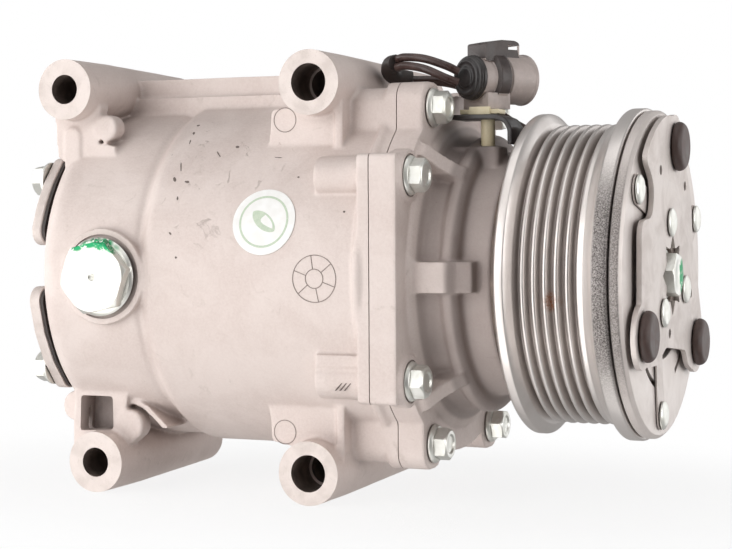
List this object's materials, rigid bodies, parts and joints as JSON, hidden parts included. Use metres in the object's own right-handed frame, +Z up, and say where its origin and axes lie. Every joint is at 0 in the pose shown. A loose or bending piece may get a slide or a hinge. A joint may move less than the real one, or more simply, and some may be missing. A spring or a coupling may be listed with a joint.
{
  "type": "automotive ac compressor",
  "caption": "Scroll compressor for a car air conditioner, with a cast body, through-bolt ears, grooved belt pulley, electromagnetic clutch and wired connector.",
  "frame": {"origin": "shaft axis at the front face of the clutch's centre bolt", "axes": "+X along the shaft from the rear of the body to the clutch, +Z up, and -Y the side with the fill plug"},
  "size_m": [0.2177, 0.125, 0.1498],
  "materials": {
    "cast_housing": "sand-cast, matt",
    "machined_alloy": "machined",
    "zinc_hardware": "bright zinc plate",
    "galvanised_steel": "zinc plate, speckled",
    "satin_steel": "satin",
    "bearing_steel": "ground",
    "black_rubber": "moulded, matt",
    "grommet_rubber": "moulded, satin",
    "grey_plastic": "moulded",
    "black_bracket": "satin black",
    "ivory_plastic": "moulded nylon",
    "coil_shell": "lacquered",
    "wire_insulation": "extruded"
  },
  "bodies": {
    "root": {"anti_rotation_plate": "bearing_steel", "bearing_snap_ring": "satin_steel", "bracket_clip": "ivory_plastic", "coil_lead": "wire_insulation", "connector_body": "grey_plastic", "connector_bracket": "black_bracket", "connector_grommet": "grommet_rubber", "cover_bolt_lower": "zinc_hardware", "cover_bolt_upper": "zinc_hardware", "field_coil": "coil_shell", "fill_plug": "zinc_hardware", "fixed_scroll": "machined_alloy", "flange_bolt_1": "zinc_hardware", "flange_bolt_2": "zinc_hardware", "flange_bolt_3": "zinc_hardware", "flange_bolt_4": "zinc_hardware", "flange_bolt_5": "zinc_hardware", "flange_bolt_6": "zinc_hardware", "flange_bolt_7": "zinc_hardware", "flange_bolt_8": "zinc_hardware", "front_bearing": "bearing_steel", "front_housing": "cast_housing", "housing_oring": "black_rubber", "lead_sleeve": "black_rubber", "lead_wire_lower": "wire_insulation", "lead_wire_upper": "wire_insulation", "main_bearing_outer_race": "bearing_steel", "port_cover_lower": "zinc_hardware", "port_cover_upper": "zinc_hardware", "port_gasket_lower": "black_rubber", "port_gasket_upper": "black_rubber", "pulley_bearing_inner_race": "bearing_steel", "rear_housing": "cast_housing", "reed_stop": "bearing_steel", "shaft_seal": "black_rubber"},
    "pulley": {"pulley_rotor": "galvanised_steel", "pulley_bearing_outer_race": "bearing_steel"},
    "pulley_cage": {"pulley_bearing_cage": "bearing_steel"},
    "shaft": {"crankshaft": "bearing_steel", "counterweight": "bearing_steel", "main_bearing_inner_race": "bearing_steel", "clutch_hub": "satin_steel", "centre_bolt": "zinc_hardware", "inner_rivet_1": "zinc_hardware", "inner_rivet_2": "zinc_hardware", "inner_rivet_3": "zinc_hardware", "damper_1": "black_rubber", "damper_2": "black_rubber", "damper_3": "black_rubber"},
    "armature": {"armature_plate": "galvanised_steel", "outer_rivet_1": "zinc_hardware", "outer_rivet_2": "zinc_hardware", "outer_rivet_3": "zinc_hardware", "leaf_spring_1": "satin_steel", "leaf_spring_2": "satin_steel", "leaf_spring_3": "satin_steel"},
    "orbiter": {"orbiting_scroll": "machined_alloy", "drive_bush": "bearing_steel"},
    "main_cage": {"main_bearing_cage": "bearing_steel"},
    "reed": {"discharge_reed": "bearing_steel"}
  },
  "joints": [
    {"name": "pulley_spin", "type": "hinge", "parent": "root", "child": "pulley", "pos_m": [-0.029, 0, 0], "axis": [1, 0, 0], "continuous": true},
    {"name": "pulley_cage_spin", "type": "hinge", "parent": "root", "child": "pulley_cage", "pos_m": [-0.0305, 0, 0], "axis": [1, 0, 0], "continuous": true},
    {"name": "shaft_spin", "type": "hinge", "parent": "root", "child": "shaft", "pos_m": [-0.082, 0, 0], "axis": [1, 0, 0], "continuous": true},
    {"name": "main_cage_spin", "type": "hinge", "parent": "root", "child": "main_cage", "pos_m": [-0.082, 0, 0], "axis": [1, 0, 0], "continuous": true},
    {"name": "armature_slide", "type": "slide", "parent": "shaft", "child": "armature", "axis": [1, 0, 0], "range_m": [-0.0004, 0], "stiffness_N_per_m": 4000},
    {"name": "orbit", "type": "hinge", "parent": "shaft", "child": "orbiter", "pos_m": [-0.103, 0.00425, 0], "axis": [1, 0, 0], "continuous": true},
    {"name": "reed_lift", "type": "hinge", "parent": "root", "child": "reed", "pos_m": [-0.15455, 0.012, 0], "axis": [0, 0, -1], "range_deg": [0, 4], "stiffness_Nm_per_rad": 0.005}
  ],
  "couplings": [
    {"joint": "pulley_cage_spin", "follows": "pulley_spin", "ratio": 0.5424},
    {"joint": "main_cage_spin", "follows": "shaft_spin", "ratio": 0.4219},
    {"joint": "orbit", "follows": "shaft_spin", "ratio": -1}
  ]
}
